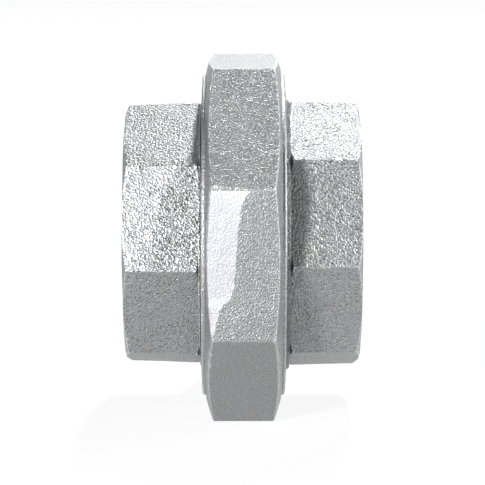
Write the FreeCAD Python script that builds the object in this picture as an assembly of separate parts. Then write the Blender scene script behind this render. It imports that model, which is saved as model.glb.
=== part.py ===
import FreeCAD, Part
import math
import os

# A class 150 malleable-iron ground-joint pipe union for NPS 3 pipe, with female NPT sockets.
#
# Millimetres. The pipe axis is X, with the thread piece on the +X side and the tail piece on the
# -X side. The origin is on the pipe axis, in the middle of the overall length. +Z is up, and the
# nut's flats are square to Y and Z, so that the union rests on the nut's lowest flat.
# Turned outlines are lists of (x, radius) points, swept about the pipe axis.

# --- driving dimensions -------------------------------------------------------------------------

overall_length = 100.0
sides = 8

# pipe sockets, NPT 3-8: plain bores at the radius of the thread's crests
socket_r = 41.76
socket_depth = 30.0
socket_mouth_r = 44.9       # the mouth's bevel opens to just over the thread's root
socket_mouth_depth = 2.0
socket_floor_run = 1.3      # the slope between socket and waterway
waterway_r = 39.5

# octagonal ends
thread_end_turn_deg = -19.0  # how far its flats are turned about +X from the nut's
thread_end_corner_r = (59.0, 58.2)  # at the face towards the nut and at the outer face
thread_end_inner_x = 20.3
tail_end_turn_deg = -17.0
tail_end_corner_r = (58.5, 57.5)
tail_end_inner_x = -18.2
outer_bevel = (1.7, 4.3)    # run along X and drop in radius, at the corners of the outer face
inner_bevel = (0.8, 2.0)    # the same at the face towards the nut
bevel_reach = 1.0           # how far the bevels' cutter stands past the corners

# union thread between thread piece and nut: right hand, 10 threads per inch
pitch = 2.54
crest_width = 0.3
flank_slope = math.tan(math.radians(30))
male_crest_r = 65.9
male_root_r = 64.4
female_crest_r = 64.7
female_root_r = 66.3
female_thread_start_x = -7.0
lead_in = 1.5
groove_overlap = 0.2        # how far a groove's cutter stands past the crests

# thread piece: nose, recess and neck
nose_x = -4.0
recess_r = 54.0
recess_floor_x = 1.0
neck_start_x = 9.0          # the thread runs out on the neck's slope
neck_end_r = 57.6

# brass seat, pressed in the nose
seat_outer_r = 46.0
seat_bore_r = 40.0
seat_back_x = 9.0
seat_clearance = 0.12       # along X, between the closed ball and the cone

# tail piece: neck, shoulder and ball nose
tail_neck_r = 57.0
shoulder_r = 64.0
shoulder_front_x = -5.0
shoulder_gap = 0.2          # between the shoulder and the nut's lip
shoulder_bevel = 0.8
ball_r = 75.0
ball_edge_r = 52.0
ball_tip_r = 41.0
contact_r = 43.5            # the circle where the ball meets the cone

# union nut
nut_middle_x = 0.5
nut_across_flats = 151.4
nut_half_width = 15.95
nut_bevel_run = 3.0
nut_face_r = 71.6           # radius of the corner bevel's cone at the octagon's side faces
collar_r = 69.5
collar_half_width = 17.65
collar_bevel = 0.6
lip_inner_x = -11.3
lip_bore_r = 59.3           # passes over the tail piece's octagon
lip_bevel = 0.8
relief_r = 66.7             # clear of the thread, between the lip and its start
nut_mouth_r = 67.6

# --- values that follow -------------------------------------------------------------------------

axis = FreeCAD.Vector(1, 0, 0)
origin = FreeCAD.Vector(0, 0, 0)
end_x = overall_length / 2
socket_floor_x = end_x - socket_depth
ball_x = shoulder_front_x - math.sqrt(ball_r**2 - ball_edge_r**2)
cone_run = contact_r / math.sqrt(ball_r**2 - contact_r**2)  # along X, for each unit of radius
nut_corner_r = nut_across_flats / 2 / math.cos(math.pi / sides)
neck_slope = (male_crest_r - neck_end_r) / (thread_end_inner_x - neck_start_x)
male_thread_end_x = neck_start_x + (male_crest_r - male_root_r) / neck_slope + pitch


# --- building blocks ----------------------------------------------------------------------------

def turned(outline):
    """A solid swept about the pipe axis from a closed outline of (x, radius) points."""
    corners = [FreeCAD.Vector(x, 0, r) for x, r in outline]
    return Part.Face(Part.makePolygon(corners + corners[:1])).revolve(origin, axis, 360)


def ring(x, corner_r, turn_deg):
    """The corners of an octagon, which has flats square to Y and Z when it isn't turned."""
    angles = [math.radians(turn_deg) + (k + 0.5) * 2 * math.pi / sides for k in range(sides)]
    return [FreeCAD.Vector(x, corner_r * math.cos(a), corner_r * math.sin(a)) for a in angles]


def octagon(left, left_corner_r, right, right_corner_r, turn_deg):
    """An octagonal block along the pipe axis from x = left to x = right, with flat sides."""
    near = ring(left, left_corner_r, turn_deg)
    far = ring(right, right_corner_r, turn_deg)
    outlines = [near[::-1], far]
    for k in range(sides):
        following = (k + 1) % sides
        outlines.append([near[k], near[following], far[following], far[k]])
    faces = [Part.Face(Part.makePolygon(outline + outline[:1])) for outline in outlines]
    return Part.makeSolid(Part.makeShell(faces))


def octagonal_end(corner_r, inner_x, outer_x, turn_deg):
    """The octagon that a wrench holds: drafted, with its corners bevelled at both faces."""
    inner_r, outer_r = corner_r
    out = math.copysign(1, outer_x - inner_x)
    widest = inner_r + bevel_reach
    bevels = turned([
        (inner_x, 0),
        (inner_x, inner_r - inner_bevel[1]),
        (inner_x + out * inner_bevel[0], inner_r),
        (inner_x + out * inner_bevel[0], widest),
        (outer_x - out * outer_bevel[0], widest),
        (outer_x - out * outer_bevel[0], outer_r),
        (outer_x, outer_r - outer_bevel[1]),
        (outer_x, 0),
    ])
    if out > 0:
        block = octagon(inner_x, inner_r, outer_x, outer_r, turn_deg)
    else:
        block = octagon(outer_x, outer_r, inner_x, inner_r, turn_deg)
    return block.common(bevels)


def socket_and_waterway(side, waterway_end_x):
    """What is taken out of the end on side +1 or -1, from its mouth to the far end of the waterway."""
    mouth_x = side * end_x
    return turned([
        (mouth_x, 0),
        (mouth_x, socket_mouth_r),
        (mouth_x - side * socket_mouth_depth, socket_r),
        (side * socket_floor_x, socket_r),
        (side * (socket_floor_x - socket_floor_run), waterway_r),
        (waterway_end_x, waterway_r),
        (waterway_end_x, 0),
    ])


def thread_groove(crest_r, root_r, x_from, x_to, phase):
    """The right-hand helical groove between the ridges of a thread, from its root to past its crest.

    A phase of half a turn puts the groove where the ridge of the other thread is.
    """
    towards_root = math.copysign(1, root_r - crest_r)
    mouth_r = crest_r - towards_root * groove_overlap
    mouth = pitch - crest_width + 2 * groove_overlap * flank_slope
    floor = mouth - 2 * abs(root_r - mouth_r) * flank_slope
    section = [
        FreeCAD.Vector(root_r, 0, -floor / 2),
        FreeCAD.Vector(root_r, 0, floor / 2),
        FreeCAD.Vector(mouth_r, 0, mouth / 2),
        FreeCAD.Vector(mouth_r, 0, -mouth / 2),
    ]
    helix = Part.makeLongHelix(pitch, x_to - x_from, root_r, 0)
    sweep = Part.BRepOffsetAPI.MakePipeShell(Part.Wire(helix.Edges))
    sweep.setBiNormalMode(FreeCAD.Vector(0, 0, 1))
    sweep.add(Part.makePolygon(section + section[:1]))
    sweep.build()
    sweep.makeSolid()
    groove = sweep.shape()
    groove.Placement = FreeCAD.Placement(axis * x_from, FreeCAD.Rotation(FreeCAD.Vector(0, 1, 0), 90))
    groove.rotate(origin, axis, 360 * (x_from / pitch + phase))
    return groove


def ball_x_at(r):
    return ball_x + math.sqrt(ball_r**2 - r**2)


def seat_x_at(r):
    return ball_x_at(contact_r) + (contact_r - r) * cone_run + seat_clearance


# --- sub-parts ----------------------------------------------------------------------------------

def thread_piece():
    body = turned([
        (nose_x, 0),
        (nose_x, male_crest_r - lead_in),
        (nose_x + lead_in, male_crest_r),
        (neck_start_x, male_crest_r),
        (thread_end_inner_x, neck_end_r),
        (thread_end_inner_x, 0),
    ])
    body = body.fuse(octagonal_end(
        thread_end_corner_r, thread_end_inner_x, end_x, thread_end_turn_deg
    ))
    hollow = socket_and_waterway(1, nose_x).fuse(turned([
        (nose_x, 0),
        (nose_x, recess_r),
        (recess_floor_x, seat_outer_r),
        (seat_back_x, seat_outer_r),
        (seat_back_x, 0),
    ]))
    groove = thread_groove(male_crest_r, male_root_r, nose_x - 2 * pitch, male_thread_end_x, 0)
    return body.cut(hollow).removeSplitter().cut(groove)


def brass_seat():
    return turned([
        (seat_x_at(seat_outer_r), seat_outer_r),
        (seat_back_x, seat_outer_r),
        (seat_back_x, seat_bore_r),
        (seat_x_at(seat_bore_r), seat_bore_r),
    ])


def ball_nose():
    """The shoulder's front face and the ball that seats on the brass cone."""
    edge = FreeCAD.Vector(shoulder_front_x, 0, ball_edge_r)
    middle_r = (ball_edge_r + ball_tip_r) / 2
    middle = FreeCAD.Vector(ball_x_at(middle_r), 0, middle_r)
    tip = FreeCAD.Vector(ball_x_at(ball_tip_r), 0, ball_tip_r)
    foot = FreeCAD.Vector(shoulder_front_x, 0, 0)
    top = FreeCAD.Vector(tip.x, 0, 0)
    outline = Part.Wire([
        Part.makeLine(foot, edge),
        Part.Arc(edge, middle, tip).toShape(),
        Part.makeLine(tip, top),
        Part.makeLine(top, foot),
    ])
    return Part.Face(outline).revolve(origin, axis, 360)


def tail_piece():
    shoulder_back_x = lip_inner_x + shoulder_gap
    body = turned([
        (tail_end_inner_x, 0),
        (tail_end_inner_x, tail_neck_r),
        (shoulder_back_x, tail_neck_r),
        (shoulder_back_x, shoulder_r - shoulder_bevel),
        (shoulder_back_x + shoulder_bevel, shoulder_r),
        (shoulder_front_x - shoulder_bevel, shoulder_r),
        (shoulder_front_x, shoulder_r - shoulder_bevel),
        (shoulder_front_x, 0),
    ])
    body = body.fuse(octagonal_end(
        tail_end_corner_r, tail_end_inner_x, -end_x, tail_end_turn_deg
    ))
    body = body.fuse(ball_nose())
    return body.cut(socket_and_waterway(-1, ball_x_at(ball_tip_r))).removeSplitter()


def union_nut():
    left = nut_middle_x - nut_half_width
    right = nut_middle_x + nut_half_width
    collar_left = nut_middle_x - collar_half_width
    collar_right = nut_middle_x + collar_half_width
    block = octagon(left, nut_corner_r, right, nut_corner_r, 0)
    block = block.common(turned([
        (left, 0),
        (left, nut_face_r),
        (left + nut_bevel_run, nut_corner_r),
        (right - nut_bevel_run, nut_corner_r),
        (right, nut_face_r),
        (right, 0),
    ]))
    collars = turned([
        (collar_left, 0),
        (collar_left, collar_r - collar_bevel),
        (collar_left + collar_bevel, collar_r),
        (collar_right - collar_bevel, collar_r),
        (collar_right, collar_r - collar_bevel),
        (collar_right, 0),
    ])
    hollow = turned([
        (collar_left, 0),
        (collar_left, lip_bore_r + lip_bevel),
        (collar_left + lip_bevel, lip_bore_r),
        (lip_inner_x, lip_bore_r),
        (lip_inner_x, relief_r),
        (female_thread_start_x, relief_r),
        (female_thread_start_x, female_crest_r),
        (collar_right - lead_in, female_crest_r),
        (collar_right, nut_mouth_r),
        (collar_right, 0),
    ])
    groove = thread_groove(
        female_crest_r, female_root_r, female_thread_start_x - pitch / 2, collar_right + 2 * pitch, 0.5
    )
    return block.fuse(collars).cut(hollow).removeSplitter().cut(groove)


os.makedirs("parts", exist_ok=True)
for make in (thread_piece, brass_seat, tail_piece, union_nut):
    solid = make().Solids[0]
    print(make.__name__, "valid" if solid.isValid() else "NOT VALID", round(solid.Volume), "mm3")
    solid.exportStep(f"parts/{make.__name__}.step")
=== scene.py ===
import math

import bmesh
import bpy
import numpy as np
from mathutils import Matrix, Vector, noise


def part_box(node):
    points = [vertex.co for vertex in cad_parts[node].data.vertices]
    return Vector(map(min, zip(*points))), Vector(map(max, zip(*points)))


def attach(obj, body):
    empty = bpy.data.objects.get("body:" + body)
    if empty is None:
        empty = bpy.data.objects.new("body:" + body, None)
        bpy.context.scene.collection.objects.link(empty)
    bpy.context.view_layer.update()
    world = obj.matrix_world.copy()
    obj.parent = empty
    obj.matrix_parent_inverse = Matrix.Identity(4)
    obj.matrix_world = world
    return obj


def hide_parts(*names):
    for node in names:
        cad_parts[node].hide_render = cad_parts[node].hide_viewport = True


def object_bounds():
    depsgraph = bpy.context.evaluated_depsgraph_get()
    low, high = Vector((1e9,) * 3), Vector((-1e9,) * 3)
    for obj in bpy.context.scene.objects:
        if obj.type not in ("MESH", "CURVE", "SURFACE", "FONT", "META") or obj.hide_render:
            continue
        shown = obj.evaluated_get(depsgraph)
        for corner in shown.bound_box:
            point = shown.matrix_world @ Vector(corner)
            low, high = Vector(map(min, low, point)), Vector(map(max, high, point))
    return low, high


# A galvanized ground-joint pipe union: two octagonal ends, a brass seat and an octagonal nut.
# Shapes are worked out in millimetres and turned into metres when a mesh is made. The pipe axis is
# X, and an angle about it is measured from +Y towards +Z, so that the front, -Y, is at 180 degrees.

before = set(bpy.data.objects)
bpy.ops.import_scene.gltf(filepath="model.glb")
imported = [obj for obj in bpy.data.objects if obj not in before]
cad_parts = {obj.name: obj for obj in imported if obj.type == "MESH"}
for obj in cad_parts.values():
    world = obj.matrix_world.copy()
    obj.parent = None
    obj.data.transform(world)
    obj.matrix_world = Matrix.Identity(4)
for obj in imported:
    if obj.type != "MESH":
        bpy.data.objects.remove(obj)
cad_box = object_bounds()
MM = 0.001


def box_mm(node):
    low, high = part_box(node)
    return low / MM, high / MM


# --- sizes: the outer ones from the frame, the rest as in the CAD model --------------------------

SIDES = 8
HALF_SIDE = math.pi / SIDES

thread_high = box_mm("thread_piece")[1]
tail_high = box_mm("tail_piece")[1]
nut_low, nut_high = box_mm("union_nut")
seat_low, seat_high = box_mm("brass_seat")

# octagonal ends: how far each is turned about the axis, how far its corners are from the axis at
# its inner and outer face, and where its inner face is; a bevel is (along the axis, in radius)
END_X = thread_high.x
THREAD_END = {"turn": math.radians(-19.0), "corner_r": (59.0, 58.2), "inner_x": 20.3}
TAIL_END = {"turn": math.radians(-17.0), "corner_r": (58.5, 57.5), "inner_x": -18.2}
OUTER_BEVEL = (1.7, 4.3)
INNER_BEVEL = (0.8, 2.0)
END_CORNER_ROUND = 1.3

# pipe sockets: NPT 3-8 taper thread, with its radii at the mouth
PIPE_PITCH = 3.175
PIPE_ROOT_R = 44.3
PIPE_CREST_R = 41.76
PIPE_TAPER = 1 / 32
PIPE_ROOT_HALF_FLAT = 0.06
PIPE_DRILL_R = 41.28
PIPE_THREAD_DEPTH = 27.0
PIPE_FADE_FROM = 19.0        # the depth past which the grooves get shallower
PIPE_FADE_UNDER = 0.1        # they end this far inside the drilled hole's wall, and so vanish
SOCKET_DEPTH = 30.0
SOCKET_FLOOR_RUN = 1.3
MOUTH_R = 44.9
MOUTH_DEPTH = 2.0
MOUTH_RIM = 0.6              # the turned ring round the mouth
WATERWAY_R = 39.5

# union thread: male on the thread piece, female in the nut
PITCH = 2.54
MALE_CREST_R = 65.9
MALE_ROOT_R = 64.4
FEMALE_CREST_R = 64.7
FEMALE_ROOT_R = 66.3
CREST_WIDTH = 0.3
FLANK_SLOPE = math.tan(math.radians(30))

# thread piece
NOSE_X = -4.0
MALE_THREAD_END_X = 11.2
RUN_OUT = 0.6                # the turned stretch between the thread and the cast neck
NECK_START_X = 9.0
NECK_END_R = 57.6
NECK_GAP = 0.3               # the neck stops this far short of the octagon's face
RECESS_R = 54.0
RECESS_FLOOR_X = 1.0

# tail piece
TAIL_NECK_R = 57.0
SHOULDER_R = tail_high.z
SHOULDER_BACK_X = -11.1
SHOULDER_FRONT_X = -5.0
SHOULDER_BEVEL = 0.8
BALL_R = 75.0
BALL_EDGE_R = 52.0
BALL_TIP_R = 41.0
BALL_X = SHOULDER_FRONT_X - math.sqrt(BALL_R**2 - BALL_EDGE_R**2)

# brass seat
SEAT_OUTER_R = 46.0
SEAT_BORE_R = 40.0
SEAT_BACK_X = seat_high.x
SEAT_CONTACT_R = 43.5        # the circle on which the ball touches it

# union nut
NUT_MIDDLE_X = (nut_low.x + nut_high.x) / 2
NUT_APOTHEM = nut_high.z
NUT_HALF_WIDTH = 15.95
NUT_BEVEL_RUN = 3.0
NUT_FACE_R = 71.6
NUT_CORNER_ROUND = 1.5
COLLAR_R = 69.5
COLLAR_HALF_WIDTH = (nut_high.x - nut_low.x) / 2
COLLAR_BEVEL = 0.6
LIP_INNER_X = -11.3
LIP_BORE_R = 59.3
LIP_BEVEL = 0.8
RELIEF_R = 66.7
FEMALE_THREAD_START_X = -7.0
NUT_MOUTH_R = 67.6
NUT_LEAD_IN = 1.5

# the ground patch on the nut's front flat, painted brighter as painted light: its right edge as
# (height on the flat, x), and its tilt, by which it sinks towards -X
NUT_PATCH_EDGE = [(-31.5, -12.6), (-23.0, -10.2), (-16.5, -8.6), (-14.8, -5.5), (-12.0, -4.2),
                  (-6.0, -3.2), (4.0, -2.3), (16.0, -1.6), (25.0, -0.2), (28.5, 1.5), (31.5, 4.5)]
PATCH_SLOPE = math.tan(math.radians(4.0))
# painted light on the tail piece's front flat, lighter and smoother away from the nut: its right
# edge, and how wide its soft border is
TAIL_PAINTED_LIGHT_EDGE = [(-22.0, -39.5), (-7.0, -36.0), (8.0, -33.0), (22.0, -28.5)]
TAIL_PAINTED_LIGHT_SOFTNESS = 7.0
GROUND_REACH = 3.0           # a point's distance from a ground patch's edge is recorded up to this
PATCH_MARGIN = 0.4           # how far short of the flat's corners a patch stops
FLAT_PART = 0.97             # a point is on the flat if it is past this part of the apothem,
CUT_PART = 0.92              # and is ground away only if it is past this part of it

# mesh density
FLAT_COLUMNS = {"nut": 60, "end": 46}
CORNER_COLUMNS = 5
RING_COLUMNS = 256
BALL_ROWS = 9
ARC_STEPS = 3
ARC_SHARE = 0.45             # the most of a stretch that the arc at its end takes up
ARC_LEAST_HALF = 0.2         # radians; a sharper corner is rounded as if it were this sharp
TINY = 1e-9                  # keeps an empty stretch from dividing by zero
SHARP_ANGLE = math.radians(32)
MERGE_DISTANCE = 0.002 * MM

# how uneven a cast surface is: wavelengths and heights
CAST_WAVES = [(22.0, 0.16), (7.0, 0.09), (2.6, 0.05)]


# --- meshes swept about the pipe axis ------------------------------------------------------------

def octagon_r(angle, apothem, turn, corner_round):
    """Distance from the axis to an octagon with rounded corners, at each angle about the axis."""
    off_flat = np.abs((angle - turn + HALF_SIDE) % (2 * HALF_SIDE) - HALF_SIDE)
    centre_r = (apothem - corner_round) / math.cos(HALF_SIDE)
    off_corner = HALF_SIDE - off_flat
    on_arc = centre_r * np.cos(off_corner) + np.sqrt(
        np.maximum(corner_round**2 - (centre_r * np.sin(off_corner)) ** 2, 0)
    )
    arc_starts = math.atan((apothem - corner_round) * math.tan(HALF_SIDE) / apothem)
    return np.where(off_flat < arc_starts, apothem / np.cos(off_flat), on_arc)


def octagon_angles(apothem, turn, corner_round, flat_columns):
    """Angles about the axis that are evenly spaced along the flats and closer in the corners."""
    reach = (apothem - corner_round) * math.tan(HALF_SIDE)
    flat = np.arctan(np.linspace(-reach, reach, flat_columns, endpoint=False) / apothem)
    arc_starts = math.atan(reach / apothem)
    arc = np.linspace(arc_starts, 2 * HALF_SIDE - arc_starts, CORNER_COLUMNS, endpoint=False)
    side = np.concatenate([flat, arc])
    around = np.concatenate([side + turn + k * 2 * HALF_SIDE for k in range(SIDES)])
    return np.append(around, around[0] + 2 * math.pi)


class Corner:
    """A corner of a section, at x and r, with the radius of its rounding.

    The rest is about the stretch from it to the next corner: how many rows of faces it has, its
    finish and, where it is a thread, the function that makes its rows.
    """

    def __init__(self, x, r, rounding=0.0, rows=1, finish="machined", thread=None):
        self.x, self.r, self.rounding = x, r, rounding
        self.rows, self.finish, self.thread = rows, finish, thread


def rounded(before, here, after, rounding):
    """Points on a small arc in place of the corner at here."""
    back, ahead = before - here, after - here
    back_length = np.linalg.norm(back, axis=0) + TINY
    ahead_length = np.linalg.norm(ahead, axis=0) + TINY
    cosine = np.clip((back * ahead).sum(0) / (back_length * ahead_length), -1, 1)
    half = np.arccos(cosine) / 2
    cut = rounding / np.tan(np.maximum(half, ARC_LEAST_HALF))
    start = here + back * np.minimum(cut / back_length, ARC_SHARE)
    end = here + ahead * np.minimum(cut / ahead_length, ARC_SHARE)
    steps = np.linspace(0, 1, ARC_STEPS + 1)
    return [(1 - t) ** 2 * start + 2 * t * (1 - t) * here + t**2 * end for t in steps]


def section_rows(corners, angles):
    """The rows of (x, r) round the section, each with the finish of the stretch that follows it."""
    columns = len(angles)
    points = [np.array([np.broadcast_to(c.x, columns), np.broadcast_to(c.r, columns)], float)
              for c in corners]
    arcs = []
    for k, corner in enumerate(corners):
        if corner.rounding:
            following = points[(k + 1) % len(corners)]
            arcs.append(rounded(points[k - 1], points[k], following, corner.rounding))
        else:
            arcs.append([points[k]])
    rows = []
    for k, corner in enumerate(corners):
        start, end = arcs[k][-1], arcs[(k + 1) % len(corners)][0]
        if corner.thread:
            stretch = corner.thread(start[0, 0], end[0, 0], angles)
        else:
            steps = np.linspace(0, 1, corner.rows + 1)[1:-1]
            stretch = [start + (end - start) * t for t in steps]
        rows += [(point, corner.finish) for point in arcs[k] + stretch]
    return rows


def thread(pitch, phase, edges, radius):
    """Rows that run along a right-hand thread's edges, as a Corner's stretch.

    edges are the corners of its profile, as parts of a pitch from the middle of the groove, and
    radius(x, off) is the radius at x, off millimetres from the middle of the groove.
    """
    def rows(x_from, x_to, angles):
        low, high = min(x_from, x_to), max(x_from, x_to)
        turns = (angles - angles[0]) / (2 * math.pi)
        shift = (angles[0] + math.pi / 2) / (2 * math.pi) - phase
        first = math.floor(low / pitch - shift) - 2
        last = math.ceil(high / pitch - shift) + 1
        made = []
        for turn in range(first, last):
            for edge in edges:
                x = np.clip(pitch * (turn + edge + shift + turns), low, high)
                from_groove = x / pitch - turns - shift
                off = pitch * (from_groove - np.round(from_groove))
                made.append(np.array([x, radius(x, np.abs(off))]))
        return made if x_from < x_to else made[::-1]
    return rows


def patch(flat_angle, apothem, edge, slope, softness=0.0):
    """A shape for mesh_piece: a patch on the flat at that angle, from its edge towards -X.

    It is ground at a slope or, where softness is given, painted lighter and smoother, as painted
    light, with a border that wide.
    """
    heights, edges = np.array(edge).T
    across, up = math.cos(flat_angle), math.sin(flat_angle)
    highest = apothem * math.tan(HALF_SIDE) - PATCH_MARGIN

    def shape(xyz):
        x, y, z = np.moveaxis(xyz, -1, 0)
        out, height = y * across + z * up, y * up - z * across
        inside = np.interp(height, heights, edges) - x
        on_flat = (out > FLAT_PART * apothem) & (np.abs(height) < highest)
        too_far_out = np.maximum(out - apothem + np.maximum(inside, 0) * slope, 0)
        cut = np.where(out > CUT_PART * apothem, too_far_out, 0)
        moved, ground, painted_light_and_smooth = unpatched(xyz.copy())
        moved[..., 1] -= cut * across
        moved[..., 2] -= cut * up
        if softness:
            painted_light_and_smooth[on_flat] = np.clip(inside / softness + 0.5, 0, 1)[on_flat]
        else:
            ground[on_flat] = np.clip(inside, -GROUND_REACH, GROUND_REACH)[on_flat]
        return moved, ground, painted_light_and_smooth
    return shape


def unpatched(xyz):
    """The shape of a piece with no patch."""
    return xyz, np.full(xyz.shape[:-1], -GROUND_REACH), np.zeros(xyz.shape[:-1])


def add_object(name, data):
    made = bpy.data.objects.new(name, data)
    bpy.context.scene.collection.objects.link(made)
    return made


def mesh_piece(name, corners, angles, body, node, materials, shape=unpatched):
    """A closed mesh piece with that section, riding on its body in place of its CAD node.

    shape(points) returns the points as changed, how far inside the ground patch each one is, in
    mm, and how much painted light, with smoother relief, it takes, from 0 to 1. materials has a
    material for each finish.
    """
    rows = section_rows(corners, angles)
    x = np.array([point[0] for point, _ in rows])
    r = np.array([point[1] for point, _ in rows])
    xyz, ground, painted_light_and_smooth = shape(np.stack([x, r * np.cos(angles), r * np.sin(angles)], axis=-1))
    count, columns = x.shape
    row, column = np.arange(count)[:, None], np.arange(columns - 1)[None, :]
    start, ahead = row * columns + column, (row + 1) % count * columns + column
    quads = np.stack([start, ahead, ahead + 1, start + 1], axis=-1).reshape(-1, 4)

    mesh = bpy.data.meshes.new(name)
    mesh.from_pydata((xyz.reshape(-1, 3) * MM).tolist(), [], quads.tolist())
    finishes = list(materials)
    row_finish = np.array([finishes.index(finish) for _, finish in rows])
    mesh.polygons.foreach_set("material_index", np.repeat(row_finish, columns - 1))
    for material in materials.values():
        mesh.materials.append(material)
    for attribute, values in (("ground", ground), ("painted_light_and_smooth", painted_light_and_smooth)):
        mesh.attributes.new(attribute, "FLOAT", "POINT").data.foreach_set("value", values.ravel())
    clean(mesh, [k for k, finish in enumerate(finishes) if finish != "machined"])

    piece = add_object(name, mesh)
    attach(piece, body)
    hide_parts(node)


def clean(mesh, cast_indices):
    """Closes the mesh, roughens its cast faces, and shades it smooth between its sharp edges."""
    grid = bmesh.new()
    grid.from_mesh(mesh)
    bmesh.ops.remove_doubles(grid, verts=grid.verts, dist=MERGE_DISTANCE)
    bmesh.ops.dissolve_degenerate(grid, edges=grid.edges, dist=MERGE_DISTANCE / 10)
    bmesh.ops.recalc_face_normals(grid, faces=grid.faces)
    roughen(grid, cast_indices)
    grid.to_mesh(mesh)
    grid.free()
    mesh.polygons.foreach_set("use_smooth", [True] * len(mesh.polygons))
    mesh.set_sharp_from_angle(angle=SHARP_ANGLE)


def roughen(grid, cast_indices):
    """Moves the cast faces' vertices in and out, as sand casting and hot zinc leave them."""
    moves = {}
    for vertex in grid.verts:
        faces = vertex.link_faces
        if faces and all(face.material_index in cast_indices for face in faces):
            place = vertex.co / MM
            height = sum(size * noise.noise(place / wave) for wave, size in CAST_WAVES)
            moves[vertex] = vertex.normal * (height * MM)
    for vertex, move in moves.items():
        vertex.co += move


# --- threads and sockets -------------------------------------------------------------------------

def pipe_thread(side):
    """The taper thread of the socket on side +1 or -1."""
    def radius(x, off):
        depth = END_X - side * x
        root = PIPE_ROOT_R - depth * PIPE_TAPER
        fade = np.clip((depth - PIPE_FADE_FROM) / (PIPE_THREAD_DEPTH - PIPE_FADE_FROM), 0, 1)
        root = root + (PIPE_DRILL_R - PIPE_FADE_UNDER - root) * fade
        crest = np.maximum(PIPE_CREST_R - depth * PIPE_TAPER, PIPE_DRILL_R)
        mouth = MOUTH_R - depth * (MOUTH_R - PIPE_CREST_R) / MOUTH_DEPTH
        groove = root - np.maximum(off - PIPE_ROOT_HALF_FLAT, 0) / FLANK_SLOPE
        return np.maximum(np.maximum(groove, crest), mouth)

    flat = PIPE_ROOT_HALF_FLAT / PIPE_PITCH
    edges = (-flat, flat, 0.18, 0.34, 0.5 - flat, 0.5 + flat, 0.66, 0.82)
    return thread(PIPE_PITCH, 0.0, edges, radius)


def union_thread(root_r, crest_r, phase, limits):
    """The thread between the thread piece and the nut; limits(x) are the cones that cut it off."""
    outward = math.copysign(1, crest_r - root_r)
    height = abs(crest_r - root_r)
    floor = (PITCH - CREST_WIDTH) / 2 - height * FLANK_SLOPE

    def radius(x, off):
        ridge = np.minimum(np.maximum(off - floor, 0) / FLANK_SLOPE, height)
        plain = root_r + outward * ridge
        pick = np.minimum if outward > 0 else np.maximum
        for limit in limits(x):
            plain = pick(plain, limit)
        return plain

    foot = floor / PITCH
    top = 0.5 - CREST_WIDTH / 2 / PITCH
    middle = (foot + top) / 2
    return thread(PITCH, phase, (-foot, foot, middle, top, 1 - top, 1 - middle), radius)


def socket(side):
    """The corners of a socket's section, from its mouth to the waterway."""
    floor_x = END_X - SOCKET_DEPTH
    return [
        Corner(side * END_X, MOUTH_R, thread=pipe_thread(side)),
        Corner(side * (END_X - PIPE_THREAD_DEPTH), PIPE_DRILL_R, rows=2),
        Corner(side * floor_x, PIPE_DRILL_R, 0.4),
        Corner(side * (floor_x - SOCKET_FLOOR_RUN), WATERWAY_R, 0.4, 6, "bore"),
    ]


# --- octagonal ends ------------------------------------------------------------------------------

def end_apothem(end):
    return end["corner_r"][0] * math.cos(HALF_SIDE)


def end_angles(end):
    return octagon_angles(end_apothem(end), end["turn"], END_CORNER_ROUND, FLAT_COLUMNS["end"])


def octagonal_end(end, side, angles):
    """The corners of an octagonal end's section, from its inner face to the socket's mouth."""
    inner_flat, outer_flat = [
        octagon_r(angles, r * math.cos(HALF_SIDE), end["turn"], END_CORNER_ROUND)
        for r in end["corner_r"]
    ]
    inner_face_r = end["corner_r"][0] - INNER_BEVEL[1]
    outer_face_r = end["corner_r"][1] - OUTER_BEVEL[1]
    inner_reach = np.maximum(inner_flat - inner_face_r, 0) / INNER_BEVEL[1]
    outer_reach = np.maximum(outer_flat - outer_face_r, 0) / OUTER_BEVEL[1]
    inner_x, outer_x = end["inner_x"], side * END_X
    return [
        Corner(inner_x, np.minimum(inner_flat, inner_face_r), 0.3, 2, "cast"),
        Corner(inner_x + side * INNER_BEVEL[0] * inner_reach, inner_flat, 0.3, 30, "cast"),
        Corner(outer_x - side * OUTER_BEVEL[0] * outer_reach, outer_flat, 0.5, 3, "cast"),
        Corner(outer_x, np.minimum(outer_flat, outer_face_r), 0.6, 9, "cast"),
        Corner(outer_x, MOUTH_R + MOUTH_RIM),
    ]


# --- the four pieces -----------------------------------------------------------------------------

def neck_cone(x):
    """The thread piece's radius at x, where it narrows from the thread to the octagon."""
    slope = (MALE_CREST_R - NECK_END_R) / (THREAD_END["inner_x"] - NECK_START_X)
    return MALE_CREST_R - (x - NECK_START_X) * slope


def make_thread_piece(materials):
    angles = end_angles(THREAD_END)
    male = union_thread(
        MALE_ROOT_R, MALE_CREST_R, 0.0, lambda x: (MALE_ROOT_R + x - NOSE_X, neck_cone(x))
    )
    neck_x = MALE_THREAD_END_X + RUN_OUT
    neck_end_x = THREAD_END["inner_x"] - NECK_GAP
    corners = [
        Corner(NOSE_X, MALE_ROOT_R, thread=male),
        Corner(MALE_THREAD_END_X, neck_cone(MALE_THREAD_END_X)),
        # the neck is painted dark: painted shade beside the nut's collar
        Corner(neck_x, neck_cone(neck_x), 0, 9, "neck"),
        Corner(neck_end_x, neck_cone(neck_end_x), 0.5, 1, "neck"),
        *octagonal_end(THREAD_END, 1, angles),
        *socket(1),
        Corner(SEAT_BACK_X, WATERWAY_R, rows=3),
        Corner(SEAT_BACK_X, SEAT_OUTER_R, rows=2),
        Corner(RECESS_FLOOR_X, SEAT_OUTER_R, 0.2, 4),
        Corner(NOSE_X, RECESS_R, 0.3, 3),
    ]
    mesh_piece(
        "thread_end_casting", corners, angles, "thread_end", "thread_piece", materials
    )


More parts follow.
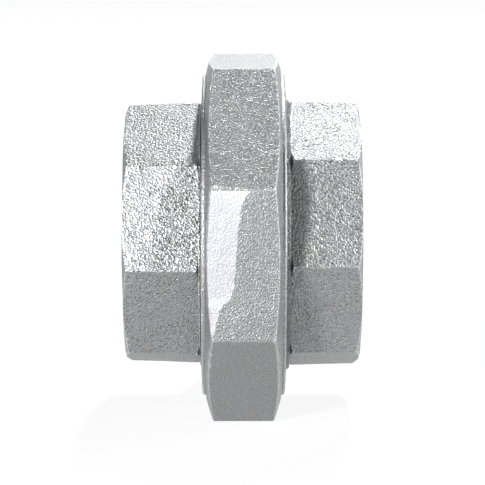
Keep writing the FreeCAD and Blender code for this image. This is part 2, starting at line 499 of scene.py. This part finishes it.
def make_tail_piece(materials):
    angles = end_angles(TAIL_END)
    ball = [Corner(BALL_X + math.sqrt(BALL_R**2 - r**2), r)
            for r in np.linspace(BALL_TIP_R, BALL_EDGE_R, BALL_ROWS)]
    corners = [
        Corner(TAIL_END["inner_x"], TAIL_NECK_R, 0.4, 2, "cast"),
        *octagonal_end(TAIL_END, -1, angles),
        *socket(-1),
        Corner(ball[0].x, WATERWAY_R, 0.3),
        *ball,
        Corner(SHOULDER_FRONT_X, SHOULDER_R - SHOULDER_BEVEL),
        Corner(SHOULDER_FRONT_X - SHOULDER_BEVEL, SHOULDER_R, rows=4),
        Corner(SHOULDER_BACK_X + SHOULDER_BEVEL, SHOULDER_R),
        Corner(SHOULDER_BACK_X, SHOULDER_R - SHOULDER_BEVEL, rows=4),
        Corner(SHOULDER_BACK_X, TAIL_NECK_R, 0.3, 6, "scale"),
    ]
    # the outer part of the front flat is painted lighter and smoother: painted light, where the nut
    # does not shade it
    front_flat = math.pi + TAIL_END["turn"]
    mesh_piece(
        "tail_end_casting", corners, angles, "tail_end", "tail_piece", materials,
        patch(front_flat, end_apothem(TAIL_END), TAIL_PAINTED_LIGHT_EDGE, 0.0, TAIL_PAINTED_LIGHT_SOFTNESS),
    )


def make_nut(materials):
    angles = octagon_angles(NUT_APOTHEM, 0.0, NUT_CORNER_ROUND, FLAT_COLUMNS["nut"])
    flats = octagon_r(angles, NUT_APOTHEM, 0.0, NUT_CORNER_ROUND)
    corner_r = NUT_APOTHEM / math.cos(HALF_SIDE)
    bevel = NUT_BEVEL_RUN * (flats - NUT_FACE_R) / (corner_r - NUT_FACE_R)
    left, right = NUT_MIDDLE_X - NUT_HALF_WIDTH, NUT_MIDDLE_X + NUT_HALF_WIDTH
    collar_left, collar_right = NUT_MIDDLE_X - COLLAR_HALF_WIDTH, NUT_MIDDLE_X + COLLAR_HALF_WIDTH
    mouth_slope = (NUT_MOUTH_R - FEMALE_CREST_R) / NUT_LEAD_IN
    female = union_thread(FEMALE_ROOT_R, FEMALE_CREST_R, 0.5, lambda x: (
        NUT_MOUTH_R - (collar_right - x) * mouth_slope, RELIEF_R - (x - FEMALE_THREAD_START_X),
    ))
    corners = [
        Corner(collar_left, LIP_BORE_R + LIP_BEVEL, 0.2, 5, "collar"),
        Corner(collar_left, COLLAR_R - COLLAR_BEVEL, 0.2, 1, "collar"),
        Corner(collar_left + COLLAR_BEVEL, COLLAR_R, 0.2, 1, "collar"),
        Corner(left, COLLAR_R, 0.25, 2, "cast"),
        Corner(left, NUT_FACE_R, 0.5, 3, "cast"),
        Corner(left + bevel, flats, 0.5, 30, "cast"),
        Corner(right - bevel, flats, 0.5, 3, "cast"),
        Corner(right, NUT_FACE_R, 0.5, 2, "cast"),
        Corner(right, COLLAR_R, 0.25, 1, "collar"),
        Corner(collar_right - COLLAR_BEVEL, COLLAR_R, 0.2, 1, "collar"),
        Corner(collar_right, COLLAR_R - COLLAR_BEVEL, 0.2, 1, "collar"),
        Corner(collar_right, NUT_MOUTH_R, thread=female),
        Corner(FEMALE_THREAD_START_X, RELIEF_R, rows=3),
        Corner(LIP_INNER_X, RELIEF_R, 0.3, 4),
        Corner(LIP_INNER_X, LIP_BORE_R, 0.3, 3),
        Corner(collar_left + LIP_BEVEL, LIP_BORE_R, 0.2),
    ]
    # the front flat's ground patch is a tilted facet, and its brighter colour is painted light
    mesh_piece(
        "nut_casting", corners, angles, "nut", "union_nut", materials,
        patch(math.pi, NUT_APOTHEM, NUT_PATCH_EDGE, PATCH_SLOPE),
    )


def make_seat(materials):
    """The brass ring: its face is the cone that the ball bears on, with the edges broken.

    The cone is tangent to the ball where they touch.
    """
    cone_slope = SEAT_CONTACT_R / math.sqrt(BALL_R**2 - SEAT_CONTACT_R**2)
    corners = [
        Corner(seat_low.x, SEAT_OUTER_R, 0.25, 8),
        Corner(seat_low.x + cone_slope * (SEAT_OUTER_R - SEAT_BORE_R), SEAT_BORE_R, 0.3, 5),
        Corner(SEAT_BACK_X, SEAT_BORE_R, 0.3, 3),
        Corner(SEAT_BACK_X, SEAT_OUTER_R, 0.3, 5),
    ]
    mesh_piece(
        "brass_seat_ring", corners, np.linspace(-math.pi, math.pi, RING_COLUMNS + 1),
        "thread_end", "brass_seat", materials,
    )


# --- node trees ----------------------------------------------------------------------------------

class Nodes:
    """A node tree, with short ways to add nodes and join them.

    A value is a number, a colour as a tuple of three, or the output of another node.
    """

    def __init__(self, tree):
        self.tree = tree

    def add(self, kind, **settings):
        node = self.tree.nodes.new(kind)
        for key, value in settings.items():
            setattr(node, key, value)
        return node

    def feed(self, value, socket):
        if isinstance(value, tuple):
            socket.default_value = (*value, 1)
        elif isinstance(value, (int, float)):
            socket.default_value = value
        else:
            self.tree.links.new(value, socket)

    def math(self, operation, *values):
        node = self.add("ShaderNodeMath", operation=operation)
        for value, socket in zip(values, node.inputs):
            self.feed(value, socket)
        return node.outputs[0]

    def band(self, value, low, high, to_low=0.0, to_high=1.0):
        """value mapped from low..high to to_low..to_high, smoothly, and held there outside it."""
        node = self.add("ShaderNodeMapRange", interpolation_type="SMOOTHSTEP")
        limits = {"From Min": low, "From Max": high, "To Min": to_low, "To Max": to_high}
        for key, number in limits.items():
            node.inputs[key].default_value = number
        self.feed(value, node.inputs["Value"])
        return node.outputs[0]

    def mix(self, factor, a, b):
        """Colour a where factor is 0 and b where it is 1."""
        node = self.add("ShaderNodeMix", data_type="RGBA")
        for value, key in ((factor, "Factor"), (a, "A"), (b, "B")):
            self.feed(value, node.inputs[key])
        return node.outputs["Result"]

    def split(self, vector):
        """The x, y and z of a vector."""
        node = self.add("ShaderNodeSeparateXYZ")
        self.feed(vector, node.inputs[0])
        return node.outputs


class Shader(Nodes):
    """A material's node tree. Its place is where a point is on the object, in mm."""

    def __init__(self, name):
        self.material = bpy.data.materials.new(name)
        self.material.use_nodes = True
        super().__init__(self.material.node_tree)
        self.surface = self.tree.nodes["Principled BSDF"]
        scale = self.add("ShaderNodeVectorMath", operation="SCALE")
        self.feed(self.add("ShaderNodeTexCoord").outputs["Object"], scale.inputs[0])
        scale.inputs["Scale"].default_value = 1 / MM
        self.place = scale.outputs[0]

    def noise(self, wavelength, detail=2.0, roughness=0.5):
        """Noise from 0 to 1, with features of about that many millimetres."""
        node = self.add("ShaderNodeTexNoise")
        node.inputs["Scale"].default_value = 1 / wavelength
        node.inputs["Detail"].default_value = detail
        node.inputs["Roughness"].default_value = roughness
        self.feed(self.place, node.inputs["Vector"])
        return node.outputs["Fac"]

    def attribute(self, name):
        return self.add("ShaderNodeAttribute", attribute_name=name).outputs["Fac"]

    def bump(self, height, depth_mm):
        node = self.add("ShaderNodeBump")
        node.inputs["Strength"].default_value = 1.0
        node.inputs["Distance"].default_value = depth_mm * MM
        self.feed(height, node.inputs["Height"])
        self.set("Normal", node.outputs[0])

    def set(self, name, value):
        self.feed(value, self.surface.inputs[name])


# --- materials -----------------------------------------------------------------------------------

# cast zinc: a size is a wavelength in mm, and a height is a part of the grain's height
METALLIC = 0.85
ROUGHNESS = 0.46
ROUGHNESS_SPREAD = 0.05
WORN_ROUGHNESS_DROP = 0.1
GRAIN_DETAIL = 0.6
GRAIN_STEP = 0.35            # how much more the grain rises across its middle
LUMP_SIZE = 1.7
LUMP_HEIGHT = 0.3
FINE_SIZE = 0.4
FINE_HEIGHT = 0.2
CLOUD_SIZE = 16.0
TINT_SIZE = 9.0
TINT_AMOUNT = 0.4
PIT_SPACING = 1.7
PIT_HEIGHT = 1.4
PIT_CROWD_SIZE = 9.0
PIT_TINT = 0.2               # how much of its colour a pit shows,
WEAR_AND_HIGHLIGHT_TINT = 0.5              # and a worn edge
RAGGED_SIZE = 3.0            # the wavelength of a ground patch's ragged edge,
RAGGED_WIDTH = 0.4           # and how far it strays either way
PAINTED_LIGHT_PATCH_SIZE = 5.0
GROUND_RELIEF = 0.25         # how much of the relief is left where the casting was ground
DARK, LIGHT = 0.78, 1.16
COOL, WARM = (0.97, 1.0, 1.04), (1.0, 0.98, 0.91)
PIT_COLOUR = (0.09, 0.095, 0.09)
# an edge's colour, partly wear and partly a painted highlight
WEAR_AND_HIGHLIGHT_COLOUR = (0.75, 0.76, 0.76)
# the patches' brighter colours: painted light
PAINTED_LIGHT_COLOURS = (0.40, 0.40, 0.43), (0.46, 0.46, 0.49)

# turned metal, likewise
RINGS_PER_MM = 3.2
RING_LEAN = 0.9              # how fast the rings go by on a face, as against along the axis
RING_SHADE = 0.75
RING_AMOUNT = 0.4
RING_DEPTH = 0.05
NICK_SIZE = 0.6
NICK_HEIGHT = 0.25
OIL_SIZE = 8.0
TURNED_ROUGHNESS_SPREAD = 0.07


def shaded(colour, factor):
    return tuple(factor * channel for channel in colour)


def tinted(colour, tint):
    return tuple(channel * part for channel, part in zip(colour, tint))


def ground_and_painted_light_mask(s):
    """1 where the casting was ground, less on the tail's patch of painted light, and 0 elsewhere.
    """
    ragged = s.band(s.noise(RAGGED_SIZE), 0.2, 0.8, -RAGGED_WIDTH, RAGGED_WIDTH)
    ground = s.band(s.math("ADD", s.attribute("ground"), ragged), -0.25, 0.35)
    patchy = s.band(s.noise(PAINTED_LIGHT_PATCH_SIZE), 0.3, 0.7, 0.3, 0.5)
    return s.math("MAXIMUM", ground, s.math("MULTIPLY", s.attribute("painted_light_and_smooth"), patchy))


def pit_mask(s, amount):
    """1 in small pits, which crowd together in places, and 0 between them."""
    cells = s.add("ShaderNodeTexVoronoi")
    cells.inputs["Scale"].default_value = 1 / PIT_SPACING
    s.feed(s.place, cells.inputs["Vector"])
    crowding = s.band(s.noise(PIT_CROWD_SIZE, 2.0, 0.6), 0.25, 0.65, 0.3, 1.0)
    pit_size = s.math("MULTIPLY", crowding, amount)
    return s.band(s.math("SUBTRACT", pit_size, cells.outputs["Distance"]), -0.06, 0.12)


def cast_zinc(name, base, grain_size, grain_depth, pit_amount):
    """Hot-dip zinc over a sand casting: worm-like grain, small pits, cloudy tint, and edges that
    are lighter, partly from wear and partly as a painted highlight.

    Where the casting was ground before dipping it is smoother, and it is painted brighter, as
    painted light; the tail's patch is painted brighter and smoother in the same way.
    """
    s = Shader(name)
    grain = s.noise(grain_size, GRAIN_DETAIL)
    lumps = s.noise(LUMP_SIZE, 1.0)
    fine = s.noise(FINE_SIZE, 1.0)
    cloud = s.noise(CLOUD_SIZE, 3.0, 0.55)
    tint = s.noise(TINT_SIZE)
    ground = ground_and_painted_light_mask(s)
    pit = s.math("MULTIPLY", pit_mask(s, pit_amount), s.math("SUBTRACT", 1.0, ground))
    # edges are lighter and glossier: partly wear, partly a painted highlight
    pointed = s.add("ShaderNodeNewGeometry").outputs["Pointiness"]
    wear_and_highlight = s.math("MULTIPLY", s.band(pointed, 0.505, 0.53), s.band(fine, 0.35, 0.6, 0.45, 1.0))

    light_grain = s.band(grain, 0.3, 0.7)
    colour = s.mix(light_grain, shaded(base, DARK), shaded(base, LIGHT))
    colour = s.mix(s.band(cloud, 0.35, 0.7, 0.0, TINT_AMOUNT), colour, tinted(base, COOL))
    colour = s.mix(s.band(tint, 0.5, 0.75, 0.0, TINT_AMOUNT), colour, tinted(base, WARM))
    colour = s.mix(s.math("MULTIPLY", pit, PIT_TINT), colour, PIT_COLOUR)
    colour = s.mix(s.math("MULTIPLY", wear_and_highlight, WEAR_AND_HIGHLIGHT_TINT), colour, WEAR_AND_HIGHLIGHT_COLOUR)
    # the patches take brighter colours: painted light
    s.set("Base Color", s.mix(ground, colour, s.mix(light_grain, *PAINTED_LIGHT_COLOURS)))
    s.set("Metallic", METALLIC)
    rough = s.band(grain, 0.3, 0.75, ROUGHNESS + ROUGHNESS_SPREAD, ROUGHNESS - ROUGHNESS_SPREAD)
    s.set("Roughness", s.math("SUBTRACT", rough, s.math("MULTIPLY", wear_and_highlight, WORN_ROUGHNESS_DROP)))

    height = s.math("MULTIPLY_ADD", s.band(grain, 0.30, 0.55), GRAIN_STEP, grain)
    height = s.math("ADD", height, s.math("MULTIPLY", fine, FINE_HEIGHT))
    height = s.math("ADD", height, s.math("MULTIPLY", lumps, LUMP_HEIGHT))
    height = s.math("SUBTRACT", height, s.math("MULTIPLY", pit, PIT_HEIGHT))
    relief = s.band(ground, 0.0, 1.0, 1.0, GROUND_RELIEF)
    s.bump(s.math("MULTIPLY", height, relief), grain_depth)
    return s.material


def turned_metal(name, colour_a, colour_b, roughness):
    """Fine rings about the pipe axis, oily colour variation, and a few nicks."""
    s = Shader(name)
    x, y, z = s.split(s.place)
    radius = s.math("SQRT", s.math("ADD", s.math("MULTIPLY", y, y), s.math("MULTIPLY", z, z)))
    node = s.add("ShaderNodeTexNoise", noise_dimensions="1D")
    node.inputs["Scale"].default_value = RINGS_PER_MM
    node.inputs["Detail"].default_value = 3.0
    s.feed(s.math("ADD", x, s.math("MULTIPLY", radius, RING_LEAN)), node.inputs["W"])
    rings = node.outputs["Fac"]
    oily = s.band(s.noise(OIL_SIZE, 3.0, 0.55), 0.35, 0.7)
    dark_rings = s.band(rings, 0.35, 0.65, 0.0, RING_AMOUNT)
    colour = s.mix(oily, colour_a, colour_b)
    s.set("Base Color", s.mix(dark_rings, colour, shaded(colour_a, RING_SHADE)))
    s.set("Metallic", 1.0)
    least, most = roughness - TURNED_ROUGHNESS_SPREAD, roughness + TURNED_ROUGHNESS_SPREAD
    s.set("Roughness", s.band(rings, 0.3, 0.7, least, most))
    s.bump(s.math("ADD", rings, s.math("MULTIPLY", s.noise(NICK_SIZE), NICK_HEIGHT)), RING_DEPTH)
    return s.material


iron = turned_metal("machined_iron", (0.29, 0.29, 0.29), (0.35, 0.35, 0.34), 0.34)
brass = turned_metal("turned_brass", (0.78, 0.57, 0.26), (0.84, 0.64, 0.33), 0.27)
mill_scale = turned_metal("mill_scale", (0.035, 0.035, 0.035), (0.05, 0.05, 0.05), 0.6)
# name, colour, size and depth of the grain in mm, size of the pits as a part of their spacing
zinc_nut = cast_zinc("zinc_nut", (0.265, 0.275, 0.275), 0.70, 0.31, 0.14)
zinc_ends = cast_zinc("zinc_ends", (0.285, 0.295, 0.295), 0.76, 0.32, 0.33)
zinc_bore = cast_zinc("zinc_bore", (0.29, 0.30, 0.30), 1.0, 0.45, 0.22)
zinc_collar = cast_zinc("zinc_collar", (0.34, 0.35, 0.35), 0.8, 0.22, 0.10)
# the neck's dark colour is painted shade, in the gap beside the nut's collar
zinc_neck_painted_shade = cast_zinc("zinc_neck_painted_shade", (0.16, 0.165, 0.165), 0.88, 0.45, 0.22)

end_finishes = {
    "machined": iron, "cast": zinc_ends, "bore": zinc_bore, "neck": zinc_neck_painted_shade, "scale": mill_scale
}
make_thread_piece(end_finishes)
make_tail_piece(end_finishes)
make_nut({"machined": iron, "cast": zinc_nut, "collar": zinc_collar})
make_seat({"machined": brass})


# --- floor, light and camera: in metres and watts ------------------------------------------------

WHITE = (1.0, 1.0, 1.0)
FLOOR_SIZE = 90.0
FLOOR_SHADE = 0.12
FLOOR_MOTTLE = 0.01
FLOOR_MOTTLE_SIZE = 400.0    # in mm
FLOOR_GLOW = 0.85            # the floor is lit from below, as a light table is
LAMPS = [  # name, direction it shines from, distance, size, power
    ("key", Vector((0.13, 0.58, 0.80)), 2.2, 0.22, 46.0),
    ("fill", Vector((-0.46, -0.84, 0.29)), 1.2, 0.20, 20.0),
    ("front", Vector((-0.30, -0.70, 0.66)), 1.6, 0.5, 2.6),
]
HORIZON_SHADE = 0.95         # the pale backdrop that stands round the floor's edge
HORIZON_HEIGHT = (3.0, 9.0)  # degrees up to which it is full, and past which there is none
PANELS = [  # direction of a soft panel, degrees from there to where it is full and ends, brightness
    (Vector((0.0, 1.0, 0.15)), (10, 32), 1.6),
    (Vector((1.0, 0.0, 0.1)), (20, 45), 4.8),
]

CAMERA_DISTANCE = 1.087
CAMERA_ELEVATION = math.radians(9.94)
CAMERA_LENS = 185.6          # in mm
CAMERA_AIM = Vector((0.0, -0.0006, -0.0034))
CAMERA_REACH = 100           # past the far edge of the floor


def make_floor():
    s = Shader("studio_floor")
    shades = [(shade,) * 3 for shade in (FLOOR_SHADE, FLOOR_SHADE + FLOOR_MOTTLE)]
    s.set("Base Color", s.mix(s.noise(FLOOR_MOTTLE_SIZE), *shades))
    s.set("Roughness", 0.9)
    s.set("Specular IOR Level", 0.1)
    s.set("Emission Color", WHITE)
    s.set("Emission Strength", FLOOR_GLOW)
    half, floor_z = FLOOR_SIZE / 2, cad_box[0].z
    corners = [(x * half, y * half, floor_z) for x, y in ((-1, -1), (1, -1), (1, 1), (-1, 1))]
    mesh = bpy.data.meshes.new("floor")
    mesh.from_pydata(corners, [], [(0, 1, 2, 3)])
    mesh.materials.append(s.material)
    add_object("floor", mesh)


def area_light(name, direction, distance, size, power):
    light = bpy.data.lights.new(name, "AREA")
    light.shape = "DISK"
    light.size = size
    light.energy = power
    lamp = add_object(name, light)
    lamp.location = direction.normalized() * distance
    lamp.rotation_euler = (-direction).to_track_quat("-Z", "Y").to_euler()


def make_world():
    """Soft studio surroundings: a pale backdrop at the horizon, and soft-edged bright panels."""
    world = bpy.data.worlds.new("studio")
    bpy.context.scene.world = world
    world.use_nodes = True
    nodes = Nodes(world.node_tree)
    place = nodes.add("ShaderNodeTexCoord").outputs["Generated"]
    full, none = (math.sin(math.radians(height)) for height in HORIZON_HEIGHT)
    total = nodes.band(nodes.split(place)["Z"], none, full, 0.0, HORIZON_SHADE)
    for direction, reach, brightness in PANELS:
        facing = nodes.add("ShaderNodeVectorMath", operation="DOT_PRODUCT")
        facing.inputs[1].default_value = direction.normalized()
        nodes.feed(place, facing.inputs[0])
        full, none = (math.cos(math.radians(angle)) for angle in reach)
        panel = nodes.band(facing.outputs["Value"], none, full, 0.0, brightness)
        total = nodes.math("ADD", total, panel)
    background = world.node_tree.nodes["Background"]
    nodes.feed(WHITE, background.inputs["Color"])
    nodes.feed(total, background.inputs["Strength"])


def make_camera():
    camera = bpy.data.cameras.new("camera")
    camera.lens = CAMERA_LENS
    camera.clip_end = CAMERA_REACH
    eye = add_object("camera", camera)
    back = Vector((0, -math.cos(CAMERA_ELEVATION), math.sin(CAMERA_ELEVATION)))
    eye.location = CAMERA_AIM + back * CAMERA_DISTANCE
    eye.rotation_euler = (-back).to_track_quat("-Z", "Y").to_euler()
    bpy.context.scene.camera = eye


make_floor()
for lamp in LAMPS:
    area_light(*lamp)
make_world()
make_camera()
bpy.context.scene.view_settings.view_transform = "Standard"
